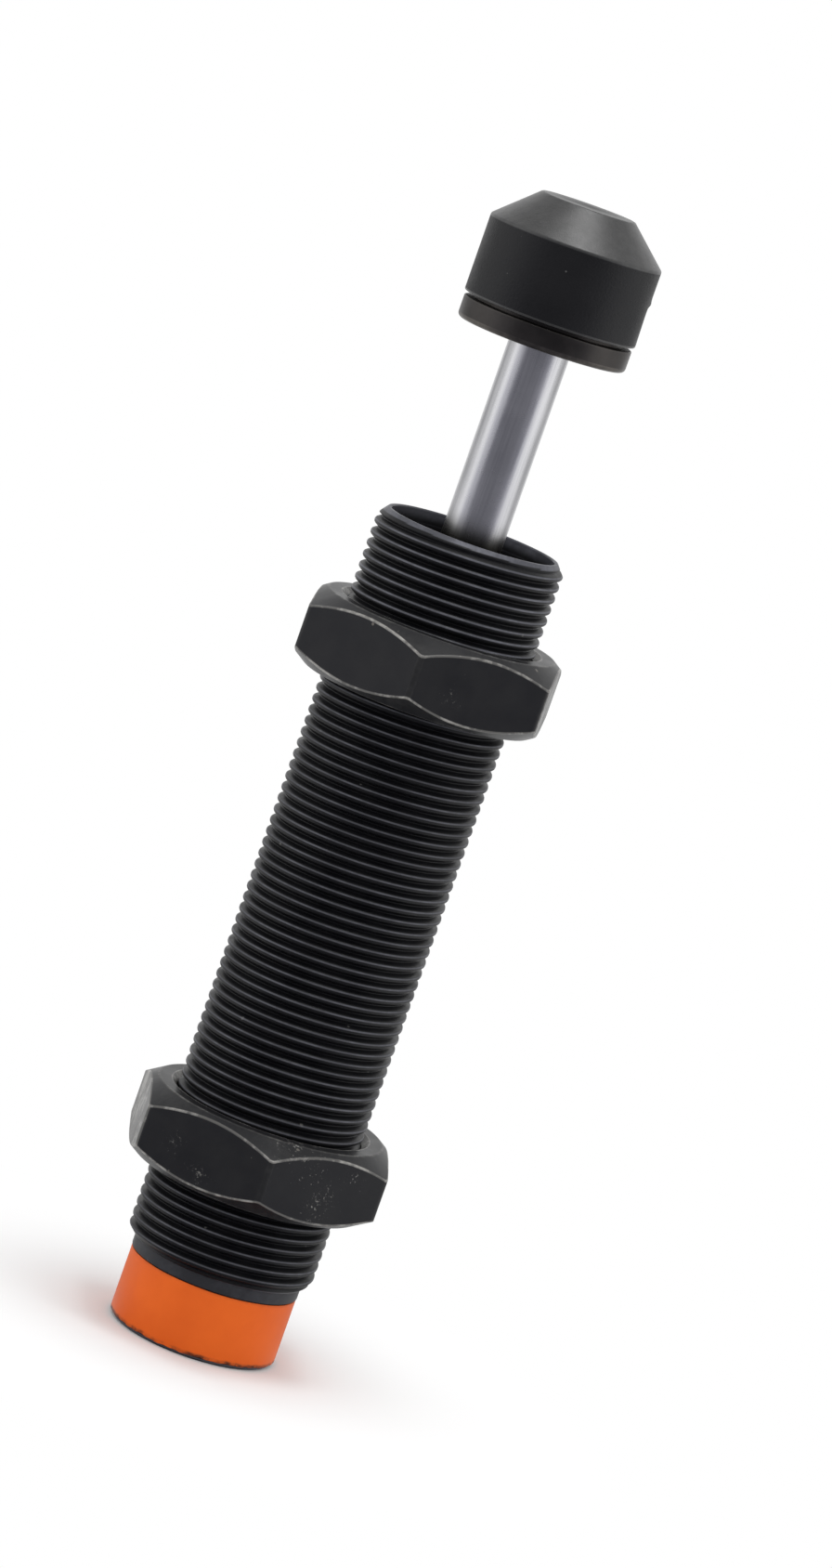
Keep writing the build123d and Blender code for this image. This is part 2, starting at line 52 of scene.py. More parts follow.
def roundedOutline(corners, rounds, wear, steps=4, fade=0.16, closed=True):
    # Each corner of an outline becomes an arc: its ends lie round / tan(half the corner's angle) along the
    # two sides, and the points between turn evenly about the arc's centre. A flat point follows each arc at
    # a short distance, where wear is zero again. corners is (corner, column, 2), and the result has wear as
    # a third value.
    corners = np.asarray(corners, float)
    if corners.ndim == 2:
        corners = corners[:, None, :]
    count = len(corners)
    rows = []
    for place in range(count):
        here = corners[place]
        if not closed and place in (0, count - 1):
            rows.append(np.dstack([here[None, :, :], np.full((1, len(here), 1), wear[place])])[0])
            continue
        before = corners[place - 1] - here
        after = corners[(place + 1) % count] - here
        lengthBefore = np.linalg.norm(before, axis=1, keepdims=True)
        lengthAfter = np.linalg.norm(after, axis=1, keepdims=True)
        before = before / lengthBefore
        after = after / lengthAfter
        half = np.arccos(np.clip((before * after).sum(1, keepdims=True), -1, 1)) / 2
        room = np.minimum(lengthBefore, lengthAfter) * 0.4
        size = np.minimum(rounds[place], room * np.tan(half))
        reach = size / np.tan(half)
        middle = before + after
        middle = middle / np.maximum(np.linalg.norm(middle, axis=1, keepdims=True), 1e-9)
        centre = here + middle * size / np.sin(half)
        first = here + before * reach - centre
        last = here + after * reach - centre
        sweep = np.maximum(math.pi - 2 * half, 1e-6)
        arc = []
        for share in np.linspace(0, 1, steps + 1):
            point = (np.sin((1 - share) * sweep) * first + np.sin(share * sweep) * last) / np.sin(sweep)
            arc.append(np.hstack([centre + point, np.full((len(here), 1), wear[place])]))
        nearBefore = np.minimum(reach + fade, lengthBefore * 0.48)
        nearAfter = np.minimum(reach + fade, lengthAfter * 0.48)
        rows.append(np.hstack([here + before * nearBefore, np.zeros((len(here), 1))]))
        rows.extend(arc)
        rows.append(np.hstack([here + after * nearAfter, np.zeros((len(here), 1))]))
    return np.array(rows)


def makePiece(name, points, wear, closed=True):
    # A grid of points (along, round, 3) in millimetres becomes quads between neighbours; the last row joins
    # the first where the outline is closed, equal points are merged and faces are turned outwards.
    if closed:
        points = np.concatenate([points, points[:1]])
        wear = np.concatenate([wear, wear[:1]])
    along, across = points.shape[:2]
    index = np.arange(along * across).reshape(along, across)
    quads = np.stack([index[:-1, :-1], index[:-1, 1:], index[1:, 1:], index[1:, :-1]], -1).reshape(-1, 4)
    mesh = bpy.data.meshes.new(name)
    mesh.from_pydata((points.reshape(-1, 3) * millimetre).tolist(), [], quads.tolist())
    layer = mesh.attributes.new("edge", "FLOAT", "POINT")
    layer.data.foreach_set("value", wear.reshape(-1).astype(np.float32))
    work = bmesh.new()
    work.from_mesh(mesh)
    bmesh.ops.remove_doubles(work, verts=work.verts, dist=4e-7)
    bmesh.ops.dissolve_degenerate(work, edges=work.edges, dist=4e-7)
    bmesh.ops.recalc_face_normals(work, faces=work.faces)
    work.to_mesh(mesh)
    work.free()
    mesh.polygons.foreach_set("use_smooth", np.ones(len(mesh.polygons), bool))
    piece = bpy.data.objects.new(name, mesh)
    bpy.context.collection.objects.link(piece)
    return piece


def weighNormals(piece):
    # A point's normal is the sum of its faces' normals times their areas, made one unit long, so that a
    # wide flat face stays flat up to the small round beside it.
    mesh = piece.data
    faces = len(mesh.polygons)
    normals = np.empty(faces * 3, np.float32)
    areas = np.empty(faces, np.float32)
    totals = np.empty(faces, np.int32)
    corners = np.empty(len(mesh.loops), np.int32)
    mesh.polygons.foreach_get("normal", normals)
    mesh.polygons.foreach_get("area", areas)
    mesh.polygons.foreach_get("loop_total", totals)
    mesh.loops.foreach_get("vertex_index", corners)
    weights = np.repeat(normals.reshape(-1, 3) * areas[:, None], totals, axis=0)
    sums = np.stack([np.bincount(corners, weights[:, axis], len(mesh.vertices)) for axis in range(3)], -1)
    sums /= np.maximum(np.linalg.norm(sums, axis=1, keepdims=True), 1e-12)
    mesh.normals_split_custom_set_from_vertices(sums.tolist())
    return piece


def spun(outline, columns):
    # Radius and height pairs are carried round the z axis: x is radius times cosine, y radius times sine.
    turn = np.linspace(0, 2 * math.pi, columns + 1)
    outline = np.broadcast_to(outline, (len(outline), columns + 1, 3))
    radius = outline[..., 0]
    points = np.stack([radius * np.cos(turn), radius * np.sin(turn), outline[..., 1]], -1)
    return points, np.array(outline[..., 2])


def rubbed(points, wear, low, high, inner, amount):
    # Wear is at least the amount between two heights and outside a radius.
    reach = np.hypot(points[..., 0], points[..., 1])
    inside = (points[..., 2] > low) & (points[..., 2] < high) & (reach > inner)
    return np.where(inside, np.maximum(wear, amount), wear)


def turnedPiece(name, corners, columns=128, steps=4, fade=0.16, bend=None, rub=None):
    # corners are (radius, height, round, wear), rub is what rubbed takes, and bend may move the points
    table = np.array(corners, float)
    outline = roundedOutline(table[:, :2], table[:, 2], table[:, 3], steps, fade)
    points, wear = spun(outline, columns)
    if rub is not None:
        wear = rubbed(points, wear, *rub)
    if bend is not None:
        points = bend(points)
    return weighNormals(makePiece(name, points, wear))


barrel = {
    "columns": 84,
    "pitch": 1.5,
    "crestRadius": 12.42,
    "threadDepth": 0.74,
    # half of a ridge's section: way from the crest and share of the depth
    "ridge": [
        (0, 0), (0.13, 0.01), (0.27, 0.05), (0.4, 0.15), (0.56, 0.37), (0.84, 0.88), (0.92, 0.98), (1, 1),
    ],
    # painted highlight with crest wear: the upper shoulder of each ridge, where the top lamp's gloss falls
    "shoulderWearAndHighlight": [(0.5, 0), (0.56, 1), (0.66, 1), (0.71, 0)],  # place in the pitch and share of the wear
    "threadShift": -0.39,  # how far the helix is carried up, in pitches
    "threadStart": 10.9,
    "leadInTop": 11.9,
    "leadInRadius": 11.4,
    "rimChamferStart": 108.6,
    "rimTop": 110.0,
    "rimRadius": 11.275,
    "rimBreak": 0.15,
    "mouthRadius": 10.825,
    "mouthFloor": 106.2,
    "grooveRadius": 10.4,
    "grooveSpan": (104.3, 105.4),
    "boreRadius": 9.75,
    "boreFloor": 10.0,
    "tubePocket": (8.02, 9.2),  # radius and floor
    "fillingPort": 3.0,
    "screwPocket": (4.8, 4.0),
    "landRadius": 10.95,
    "landTop": 9.3,
    "collarRadius": 11.2,
    "rearBreak": 0.3,
    # amounts of the crest wear and painted highlight, the larger one in front of the front nut
    "crestWearAndHighlight": 0.55,
    "frontWearAndHighlight": 0.85,  # the same in front of the front nut
    "frontWearAndHighlightStart": 97.0,
    # painted sheen: the collar lightened all round through the wear colour
    "collarPaintedSheen": (9.35, 10.85, 11.1, 0.31),  # from, to, outside this radius, amount
    # painted highlight: the rim's top and chamfer lightened all round through the wear colour
    "rimPaintedHighlight": (109.5, 110.1, 10.7, 0.85),
    # painted highlight: a lighter ring on the mouth's inner wall near the top
    "mouthPaintedHighlight": (108.2, 0.3),  # height where it is greatest, amount
}


def makeBarrel():
    # Thread: height is pitch times (row + turn), so one turn climbs one pitch. Radius is the crest less the
    # groove's depth at that row, and no more than the two end cones. The rest is an outline spun round. Only
    # the upper shoulder of a ridge takes the wear colour: crest wear with a painted highlight where the top
    # lamp's gloss falls.
    turn = np.linspace(0, 2 * math.pi, barrel["columns"] + 1)
    low = barrel["threadStart"]
    top = barrel["rimTop"]
    high = top - 0.1
    away, share = np.array(barrel["ridge"], float).T
    phase = np.concatenate([0.5 - away[:0:-1] / 2, 0.5 + away[:-1] / 2])
    fall = np.concatenate([share[:0:-1], share[:-1]])
    crest = np.interp(phase, *np.array(barrel["shoulderWearAndHighlight"]).T)
    turns = int(math.ceil((high - low) / barrel["pitch"])) + 2
    rows = (np.arange(turns)[:, None] + phase).reshape(-1, 1)
    height = low + barrel["pitch"] * (rows - 1 + barrel["threadShift"] + turn / (2 * math.pi))
    height = np.clip(height, low, high)
    radius = barrel["crestRadius"] - barrel["threadDepth"] * np.tile(fall, turns)[:, None]
    rise = (barrel["crestRadius"] - barrel["leadInRadius"]) / (barrel["leadInTop"] - low)
    slope = (barrel["crestRadius"] - barrel["rimRadius"]) / (top - barrel["rimChamferStart"])
    lowCone = barrel["leadInRadius"] + (height - low) * rise
    highCone = barrel["rimRadius"] + (top - height) * slope
    radius = np.minimum(radius + np.zeros_like(height), np.minimum(lowCone, highCone))
    amount = np.where(height > barrel["frontWearAndHighlightStart"], barrel["frontWearAndHighlight"], barrel["crestWearAndHighlight"])
    wear = np.tile(crest, turns)[:, None] * amount
    thread = np.stack([radius * np.cos(turn), radius * np.sin(turn), height], -1)
    edge = barrel["rimBreak"]
    mouth = barrel["mouthRadius"]
    bore = barrel["boreRadius"]
    groove = barrel["grooveRadius"]
    grooveLow, grooveHigh = barrel["grooveSpan"]
    pocket, pocketFloor = barrel["tubePocket"]
    port = barrel["fillingPort"]
    screw, screwFloor = barrel["screwPocket"]
    land = barrel["landRadius"]
    rearBreak = barrel["rearBreak"]
    mouthHighlightHeight, mouthPaintedHighlight = barrel["mouthPaintedHighlight"]
    corners = [  # radius, height, round, wear
        (float(highCone.min()), high, 0, 0),
        (barrel["rimRadius"], top, 0.07, 0.4),
        (mouth + edge, top, 0.05, 1),
        (mouth, top - edge, 0.05, 1),
        # painted highlight on the mouth's inner wall
        (mouth, mouthHighlightHeight, 0, mouthPaintedHighlight),
        (mouth, barrel["mouthFloor"], 0.05, 0),
        (bore, barrel["mouthFloor"], 0.05, 0.2),
        (bore, grooveHigh, 0.05, 0.2),
        (groove, grooveHigh, 0.03, 0),
        (groove, grooveLow, 0.03, 0),
        (bore, grooveLow, 0.05, 0),
        (bore, barrel["boreFloor"], 0.2, 0),
        (pocket, barrel["boreFloor"], 0.05, 0),
        (pocket, pocketFloor, 0.05, 0),
        (port, pocketFloor, 0.1, 0),
        (port, screwFloor, 0.1, 0),
        (screw, screwFloor, 0.1, 0),
        (screw, 0, 0.15, 0.6),
        (land - rearBreak, 0, 0.1, 0.5),
        (land, rearBreak, 0.1, 0.7),
        (land, barrel["landTop"], 0.03, 0),
        (barrel["collarRadius"], barrel["landTop"], 0.08, 0.25),
        (barrel["collarRadius"], low, 0.1, 0.3),
        (barrel["leadInRadius"], low, 0, 0),
    ]
    table = np.array(corners, float)
    outline = roundedOutline(table[:, :2], table[:, 2], table[:, 3], closed=False)
    plain, plainWear = spun(outline, barrel["columns"])
    points = np.concatenate([thread, plain])
    wear = np.concatenate([wear, plainWear])
    # painted sheen on the collar and painted highlight on the rim
    for choice in ("collarPaintedSheen", "rimPaintedHighlight"):
        wear = rubbed(points, wear, *barrel[choice])
    return weighNormals(makePiece("bodyTube", points, wear))


bodyTube = makeBarrel()
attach(bodyTube, "barrel")
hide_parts("body_tube")
print("barrel made")


band = {
    "inner": 10.965,
    "outer": 11.128,
    "low": 0.37,
    "high": 9.18,
    "lowerWave": 0.22,  # how far the lower edge wanders upwards
    "upperWave": 0.04,
}


def waveBand(points):
    # The lower edge rises by three sines of the turn that don't share a period, the upper one falls by two.
    turn = np.arctan2(points[..., 1], points[..., 0])
    middle = (band["low"] + band["high"]) / 2
    share = np.clip((points[..., 2] - middle) / (band["high"] - middle), -1, 1)
    lower = 0.5 + (np.sin(5 * turn + 1) + np.sin(17 * turn + 0.4) + np.sin(41 * turn + 2)) / 6
    upper = 0.5 + (np.sin(3 * turn + 2) + np.sin(8 * turn)) / 4
    points = points.copy()
    points[..., 2] += band["lowerWave"] * lower * np.clip(-share, 0, 1)
    points[..., 2] -= band["upperWave"] * upper * np.clip(share, 0, 1)
    return points


labelBand = turnedPiece(
    "labelBand",
    [
        (band["inner"], band["low"], 0.03, 0),
        (band["outer"], band["low"], 0.12, 1),
        (band["outer"], band["high"], 0.06, 0.3),
        (band["inner"], band["high"], 0.03, 0),
    ],
    columns=320,
    fade=0.55,
    bend=waveBand,
)
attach(labelBand, "barrel")
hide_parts("label_sleeve")
print("band made")


nuts = {
    "flatRadius": 16.0,
    "thickness": 10.0,
    "faceRadius": 15.1,
    "chamferAngle": 34.0,
    "cornerRound": 0.8,
    "boreRadius": 12.475,
    "boreChamfer": 0.8,
    "edgeRound": 0.14,
    "flatColumns": 16,
    "cornerMargin": 0.3,  # from a corner's round to where its wear ends
    "faceWear": 0.13,  # on the cones and flat rings
    "cornerWear": 0.13,
    "boreWear": 0.9,
    # The side amount is painted light, laid as wear on the flat that lies past the given distance to the
    # left or right, the flat that a side lamp lights.
    "front": {
        "node": "front_nut", "body": "front_lock_nut",
        "base": 88.0, "turn": -2.9, "litFlatPast": 15.35, "paintedSideLight": 0.42,
    },
    "rear": {
        "node": "rear_nut", "body": "rear_lock_nut",
        "base": 21.6, "turn": 7.5, "litFlatPast": -14.45, "paintedSideLight": 0.57,
    },
}


def hexagonColumns():
    # Six flats joined by arcs: flat points lie at the flat's distance from the centre, arc points at the
    # corner round about a centre that lies (flat - round) / cos 30 out. Wear is one on the arcs.
    flat = nuts["flatRadius"]
    size = nuts["cornerRound"]
    half = (flat - size) * math.tan(math.radians(30))
    margin = nuts["cornerMargin"]
    along = np.concatenate([[-half], np.linspace(-half + margin, half - margin, nuts["flatColumns"])])
    centre = (flat - size) / math.cos(math.radians(30))
    bend = np.radians(np.linspace(-30, 30, 7))[:-1]
    flatX = np.full(len(along), flat)
    cornerX = centre + size * np.cos(bend)
    cornerY = size * np.sin(bend)
    wear = np.concatenate([[1], np.zeros(len(along) - 1), np.ones(len(bend))])
    columns = []
    for side in range(6):
        turn = math.radians(60 * side)
        toCorner = turn + math.radians(30)
        columns.append(np.stack([flatX * math.cos(turn) - along * math.sin(turn),
                                 flatX * math.sin(turn) + along * math.cos(turn)], -1))
        columns.append(np.stack([cornerX * math.cos(toCorner) - cornerY * math.sin(toCorner),
                                 cornerX * math.sin(toCorner) + cornerY * math.cos(toCorner)], -1))
    points = np.concatenate(columns)
    wear = np.tile(wear, 6)
    return np.concatenate([points, points[:1]]), np.concatenate([wear, wear[:1]])


def makeNut(name, choice):
    # In each column the outline runs bore, bore chamfer, flat ring, cone, side and back. The cone meets the
    # side at (side's radius - ring's radius) times the tangent of the chamfer angle: the true scallop.
    columns, cornerWear = hexagonColumns()
    reach = np.hypot(columns[:, 0], columns[:, 1])
    turn = np.arctan2(columns[:, 1], columns[:, 0])
    drop = (reach - nuts["faceRadius"]) * math.tan(math.radians(nuts["chamferAngle"]))
    same = np.ones_like(reach)
    high = nuts["thickness"]
    bore = nuts["boreRadius"]
    mouth = bore + nuts["boreChamfer"]
    face = nuts["faceRadius"]
    corners = np.array([
        [same * bore, same * nuts["boreChamfer"]],
        [same * mouth, same * 0],
        [same * face, same * 0],
        [reach, drop],
        [reach, high - drop],
        [same * face, same * high],
        [same * mouth, same * high],
        [same * bore, same * (high - nuts["boreChamfer"])],
    ]).transpose(0, 2, 1)
    edge = nuts["edgeRound"]
    rounds = [0.05, 0.1, 0.3, edge, edge, 0.3, 0.1, 0.05]
    wear = [0, 0.8, 0.3, 1, 1, 0.3, 0.8, 0]
    outline = roundedOutline(corners, rounds, wear, steps=4, fade=0.2)
    radius = outline[..., 0]
    height = outline[..., 1]
    onSide = (height > drop + edge) & (height < high - drop - edge) & (radius > face)
    amount = np.maximum(outline[..., 2], np.where(onSide, cornerWear * nuts["cornerWear"], 0))
    onFace = ~onSide & (radius > mouth)
    amount = np.maximum(amount, np.where(onFace, nuts["faceWear"], 0))
    onChamfer = (radius > bore + 0.01) & (radius < mouth + 0.02)
    amount = np.maximum(amount, np.where(onChamfer, nuts["boreWear"], 0))
    turn = turn + math.radians(choice["turn"] - 60)  # a corner points to -y where the turn is zero
    points = np.stack([radius * np.cos(turn), radius * np.sin(turn), height + choice["base"]], -1)
    # painted light: wear colour on the flat past the given distance, the flat that a side lamp lights
    past = choice["litFlatPast"]
    onLitFlat = (points[..., 0] * math.copysign(1, past) > abs(past)) & (onSide | (outline[..., 2] > 0.9))
    amount = np.maximum(amount, np.where(onLitFlat, choice["paintedSideLight"], 0))
    nut = weighNormals(makePiece(name, points, amount))
    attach(nut, choice["body"])
    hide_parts(choice["node"])
    return nut


frontNut = makeNut("frontNut", nuts["front"])
rearNut = makeNut("rearNut", nuts["rear"])
print("nuts made")


rod = {
    "radius": 4.0,
    "shoulderBreak": 0.3,
    "endBreak": 0.4,
    "tailRadius": 2.5,
    "tailEnd": 58.63,
    "tailStart": 73.98,
    "studRadius": 2.95,
    "studStart": 135.4,
    "studEnd": 142.4,
}
button = {
    "radius": 11.075,
    "low": 135.4,
    "high": 138.3,
    "lowerRound": 0.6,
    "upperRound": 0.2,
    "neckRadius": 9.675,
    "neckTop": 138.8,
    "spigotRadius": 7.0,
    "spigotTop": 146.3,
    "leadStart": 145.5,
    "grooveRadius": 6.2,
    "grooveSpan": (141.0, 143.2),
    "holeRadius": 3.0,
    "holeTop": 142.45,
}
cap = {
    "radius": 11.275,
    "low": 138.8,
    "coneStart": 148.9,
    "top": 153.6,
    "topRadius": 6.125,
    "cornerRound": 0.5,
    "footRound": 0.22,
    "fit": 0.05,  # clearance round the button's spigot
    "roof": 146.8,
    "nickTurn": -1.0,  # degrees from +x, where the mould parts
    "nickHeight": 143.9,
    "nickDepth": 0.24,
    "lipDepth": 0.1,  # how far the parting stands out above the nick
    "stepDepth": 0.1,  # how far it stands back below the nick
    # the cone's wear colour: scuffs, lightened further as a painted sheen where the cone faces the top lamp
    "coneWearAndSheen": (148.7, 153.7, 2.0, 0.7),  # from, to, outside this radius, amount
}

pistonRod = turnedPiece(
    "pistonRod",
    [
        (0, rod["tailEnd"], 0, 0),
        (rod["tailRadius"], rod["tailEnd"], rod["endBreak"], 0.2),
        (rod["tailRadius"], rod["tailStart"], 0.05, 0),
        (rod["radius"], rod["tailStart"], rod["shoulderBreak"], 0.2),
        (rod["radius"], rod["studStart"], rod["shoulderBreak"], 0.2),
        (rod["studRadius"], rod["studStart"], 0.05, 0),
        (rod["studRadius"], rod["studEnd"], rod["endBreak"], 0.2),
        (0, rod["studEnd"], 0, 0),
    ],
    columns=112,
)
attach(pistonRod, "rod")
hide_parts("piston_rod")

grooveLow, grooveHigh = button["grooveSpan"]
strikeButton = turnedPiece(
    "strikeButton",
    [
        (button["holeRadius"], button["low"], 0.1, 0.2),
        (button["radius"], button["low"], button["lowerRound"], 0.35),
        (button["radius"], button["high"], button["upperRound"], 0.15),
        (button["neckRadius"], button["high"], 0.05, 0),
        (button["neckRadius"], button["neckTop"], 0.05, 0),
        (button["spigotRadius"], button["neckTop"], 0.05, 0),
        (button["spigotRadius"], grooveLow, 0.05, 0),
        (button["grooveRadius"], grooveLow, 0.05, 0),
        (button["grooveRadius"], grooveHigh, 0.05, 0),
        (button["spigotRadius"], grooveHigh, 0.05, 0),
        (button["spigotRadius"], button["leadStart"], 0.1, 0),
        (button["grooveRadius"], button["spigotTop"], 0.1, 0),
        (0, button["spigotTop"], 0, 0),
        (0, button["holeTop"], 0, 0),
        (button["holeRadius"], button["holeTop"], 0.05, 0),
    ],
    columns=144,
    steps=5,
)
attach(strikeButton, "rod")
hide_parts("strike_button")


def nickCap(points):
    # Bell curves of turn and height: one is taken off the radius where the mould parts, a lip is added above
    # it, and a shallow step below it comes to nothing at the foot.
    turn = np.arctan2(points[..., 1], points[..., 0])
    reach = np.hypot(points[..., 0], points[..., 1])
    gap = (turn - math.radians(cap["nickTurn"])) * cap["radius"]
    lift = points[..., 2] - cap["nickHeight"]
    depth = cap["nickDepth"] * np.exp(-((gap / 0.8) ** 2) - (lift / 0.35) ** 2)
    depth = depth - cap["lipDepth"] * np.exp(-((gap / 0.8) ** 2) - ((lift - 0.75) / 0.4) ** 2)
    below = np.clip(-lift / 0.4, 0, 1) * np.clip((points[..., 2] - cap["low"] - 0.4) / 0.8, 0, 1)
    depth = (depth + cap["stepDepth"] * below * np.exp(-((gap / 1.4) ** 2))) * (reach > cap["radius"] - 0.2)
    scale = 1 - depth / np.maximum(reach, 1e-6)
    points = points.copy()
    points[..., 0] *= scale
    points[..., 1] *= scale
    return points


socket = button["spigotRadius"] + cap["fit"]
bead = button["grooveRadius"] + cap["fit"]
bumperCap = turnedPiece(
    "bumperCap",
    [
        (socket, cap["low"], 0.1, 0),
        # painted highlight: full wear on the foot's round, a light line along the cap's lower edge
        (cap["radius"], cap["low"], cap["footRound"], 1),
        *[(cap["radius"], cap["nickHeight"] + lift, 0, 0) for lift in (-1.0, -0.5, -0.05, 0.4, 0.85, 1.4)],
        (cap["radius"], cap["coneStart"], cap["cornerRound"], 0.6),
        (cap["topRadius"], cap["top"], cap["cornerRound"], 0.8),
        (0, cap["top"], 0, 0),
        (0, cap["roof"], 0, 0),
        (socket, cap["roof"], 0.1, 0),
        (socket, grooveHigh - cap["fit"], 0.05, 0),
        (bead, grooveHigh - cap["fit"], 0.05, 0),
        (bead, grooveLow + cap["fit"], 0.05, 0),
        (socket, grooveLow + cap["fit"], 0.05, 0),
    ],
    columns=176,
    steps=6,
    bend=nickCap,
    # scuffs and painted sheen on the cone
    rub=cap["coneWearAndSheen"],
)
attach(bumperCap, "rod")
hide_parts("bumper_cap")
print("rod, button and cap made")


spring = {
    "low": 11.22,
    "high": 61.81,
    "radius": 5.6,
    "wire": 0.5,
    "turns": 11,
    "stepsATurn": 40,
    "aroundWire": 12,
    "kept": 0.4989,  # share of its length at full stroke
}


def makeSpring():
    # A circle of the wire's radius is carried along a helix. Its own two directions are the radial one and
    # the cross product of the helix's tangent with it. Heights past the ends are cut to the ground flats.
    count = spring["turns"] * spring["stepsATurn"]
    share = np.linspace(0, 1, count + 1)[:, None]
    turn = share * spring["turns"] * 2 * math.pi
    travel = spring["high"] - spring["low"]
    flat = np.zeros_like(turn)
    radial = np.concatenate([np.cos(turn), np.sin(turn), flat], 1)
    centre = radial * spring["radius"]
    centre[:, 2] = spring["low"] + travel * share[:, 0]
    climb = travel / (spring["turns"] * 2 * math.pi)
    ahead = np.concatenate([-np.sin(turn), np.cos(turn), flat], 1)
    tangent = ahead * spring["radius"] + (0, 0, climb)
    tangent /= np.linalg.norm(tangent, axis=1, keepdims=True)
    second = np.cross(tangent, radial)
    around = np.linspace(0, 2 * math.pi, spring["aroundWire"] + 1)[None, :, None]
    ringPart = np.cos(around) * radial[:, None] + np.sin(around) * second[:, None]
    points = centre[:, None] + ringPart * spring["wire"]
    ends = np.repeat(centre[[0, -1]][:, None], spring["aroundWire"] + 1, 1)
    points = np.concatenate([ends[:1], points, ends[1:]])
    points[..., 2] = np.clip(points[..., 2], spring["low"], spring["high"])
    return makePiece("returnSpring", points, np.zeros(points.shape[:2]), closed=False)


returnSpring = makeSpring()
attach(returnSpring, "barrel")
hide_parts("return_spring")
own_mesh(returnSpring)
print("spring made")


floatSocket = "NodeSocketFloat"
vectorSocket = "NodeSocketVector"


def newGroup(name, inputs, outputs):
    # inputs and outputs are (name, socket kind, value) lists
    group = bpy.data.node_groups.new(name, "ShaderNodeTree")
    for label, kind, value in inputs:
        socket = group.interface.new_socket(label, in_out="INPUT", socket_type=kind)
        if value is not None:
            socket.default_value = value
    for label, kind in outputs:
        group.interface.new_socket(label, in_out="OUTPUT", socket_type=kind)
    start = group.nodes.new("NodeGroupInput")
    end = group.nodes.new("NodeGroupOutput")
    return group, start, end


def feed(tree, socket, value):
    # A number or a tuple is set on the socket, anything else is linked to it.
    if isinstance(value, (int, float, tuple)):
        socket.default_value = value
    else:
        tree.links.new(value, socket)


def calculate(tree, operation, *values):
    node = tree.nodes.new("ShaderNodeMath")
    node.operation = operation
    for socket, value in zip(node.inputs, values):
        feed(tree, socket, value)
    return node.outputs[0]


def noise(tree, vector, scale, detail=3.0, rough=0.55):
    node = tree.nodes.new("ShaderNodeTexNoise")
    node.inputs["Detail"].default_value = detail
    node.inputs["Roughness"].default_value = rough
    feed(tree, node.inputs["Scale"], scale)
    tree.links.new(vector, node.inputs["Vector"])
    return node.outputs["Fac"]


def between(tree, value, low, high):
    # Zero below low, one above high, smooth in between.
    node = tree.nodes.new("ShaderNodeMapRange")
    node.interpolation_type = "SMOOTHSTEP"
    for label, amount in (("Value", value), ("From Min", low), ("From Max", high)):
        feed(tree, node.inputs[label], amount)
    return node.outputs[0]


def makeMottle():
    group, start, end = newGroup(
        "mottle",
        [("Vector", vectorSocket, None), ("Scale", floatSocket, 120.0), ("Contrast", floatSocket, 0.2)],
        [("Mask", floatSocket)],
    )
    cloud = noise(group, start.outputs["Vector"], start.outputs["Scale"], 4.0)
    low = calculate(group, "SUBTRACT", 0.5, start.outputs["Contrast"])
    high = calculate(group, "ADD", 0.5, start.outputs["Contrast"])
    group.links.new(between(group, cloud, low, high), end.inputs["Mask"])
    return group


def makeGrain():
    group, start, end = newGroup(
        "grain",
        [("Vector", vectorSocket, None), ("Scale", floatSocket, 2500.0), ("Detail", floatSocket, 0.5)],
        [("Height", floatSocket)],
    )
    coarse = noise(group, start.outputs["Vector"], start.outputs["Scale"], 2.0, 0.6)
    fineScale = calculate(group, "MULTIPLY", start.outputs["Scale"], 3.1)
    fine = noise(group, start.outputs["Vector"], fineScale, 1.0, 0.5)
    fine = calculate(group, "MULTIPLY", fine, start.outputs["Detail"])
    group.links.new(calculate(group, "ADD", coarse, fine), end.inputs["Height"])
    return group


def makeEdgeWearAndSheen():
    group, start, end = newGroup(
        "edgeWearAndSheen",
        [
            ("Vector", vectorSocket, None),
            ("Edge", floatSocket, 0.0),
            ("Amount", floatSocket, 0.5),
            ("Scale", floatSocket, 900.0),
            ("Breakup", floatSocket, 0.8),
            ("Least", floatSocket, 0.0),
        ],
        [("Mask", floatSocket)],
    )
    broadScale = calculate(group, "MULTIPLY", start.outputs["Scale"], 0.18)
    broad = noise(group, start.outputs["Vector"], broadScale, 2.0)
    close = noise(group, start.outputs["Vector"], start.outputs["Scale"], 4.0, 0.65)
    both = calculate(group, "MULTIPLY_ADD", broad, 0.6, calculate(group, "MULTIPLY", close, 0.4))
    swing = calculate(group, "MULTIPLY", calculate(group, "SUBTRACT", both, 0.5), start.outputs["Breakup"])
    level = calculate(group, "MULTIPLY_ADD", swing, 3.0, start.outputs["Amount"])
    broken = calculate(group, "MAXIMUM", between(group, level, 0.1, 1.0), start.outputs["Least"])
    mask = calculate(group, "MULTIPLY", between(group, start.outputs["Edge"], 0.05, 0.8), broken)
    group.links.new(mask, end.inputs["Mask"])
    return group


